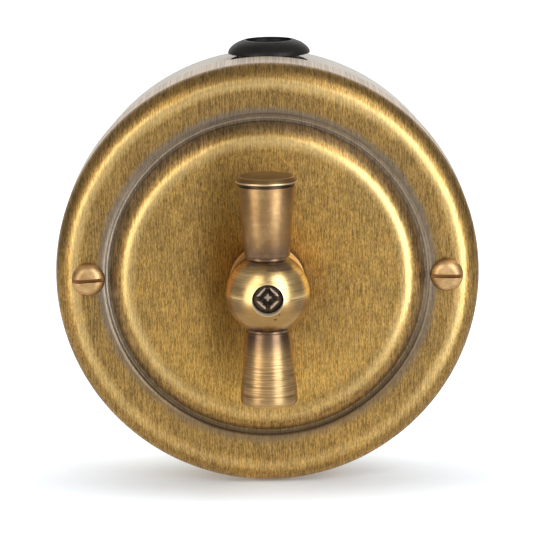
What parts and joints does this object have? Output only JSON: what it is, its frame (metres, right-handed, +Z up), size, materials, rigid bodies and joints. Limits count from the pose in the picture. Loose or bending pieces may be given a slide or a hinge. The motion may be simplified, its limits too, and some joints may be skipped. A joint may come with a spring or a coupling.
{
  "type": "rotary switch",
  "caption": "Surface-mounted rotary light switch with a round ivory base, an aged drawn brass cover and a turned barbell handle.",
  "frame": {"origin": "centre of the flat wall face of the base, on the handle's axis", "axes": "+Y into the wall, so the cover and the handle face -Y; +Z up, towards the cable entry; +X to the right as seen from the front"},
  "size_m": [0.09, 0.0673, 0.0922],
  "materials": {
    "ivory_plastic": "smooth moulded ivory",
    "aged_brass": "brushed in straight lines and aged brown",
    "copper_brass": "worn coppery brass",
    "turned_bronze": "turned and aged",
    "bright_brass": "clean satin brass",
    "spring_bronze": "rolled strip",
    "zinc_steel": "zinc plated",
    "dark_steel": "blackened",
    "black_rubber": "matte moulded rubber",
    "dark_moulding": "black moulded resin",
    "brown_moulding": "brown moulded resin"
  },
  "bodies": {
    "housing": {"base": "ivory_plastic", "cover": "aged_brass", "cover_inserts": "bright_brass", "cover_screws": "copper_brass", "cable_grommet": "black_rubber", "earth_strap": "bright_brass", "earth_terminal": "bright_brass", "earth_screw": "zinc_steel", "mechanism_body": "dark_moulding", "mechanism_cap": "dark_moulding", "mechanism_screws": "zinc_steel", "cap_screws": "zinc_steel", "contact_springs": "spring_bronze", "terminal_blocks": "bright_brass", "terminal_screws": "zinc_steel", "detent_springs": "spring_bronze"},
    "turning_group": {"handle": "turned_bronze", "handle_screw": "dark_steel", "handle_collar": "turned_bronze", "spindle": "zinc_steel", "spindle_washer": "zinc_steel", "spindle_clip": "dark_steel", "rotor": "brown_moulding", "contact_ring": "bright_brass"}
  },
  "joints": [
    {"name": "handle_turn", "type": "hinge", "parent": "housing", "child": "turning_group", "pos_m": [0, 0, 0], "axis": [0, -1, 0], "continuous": true, "deforming": ["detent_springs"]}
  ]
}
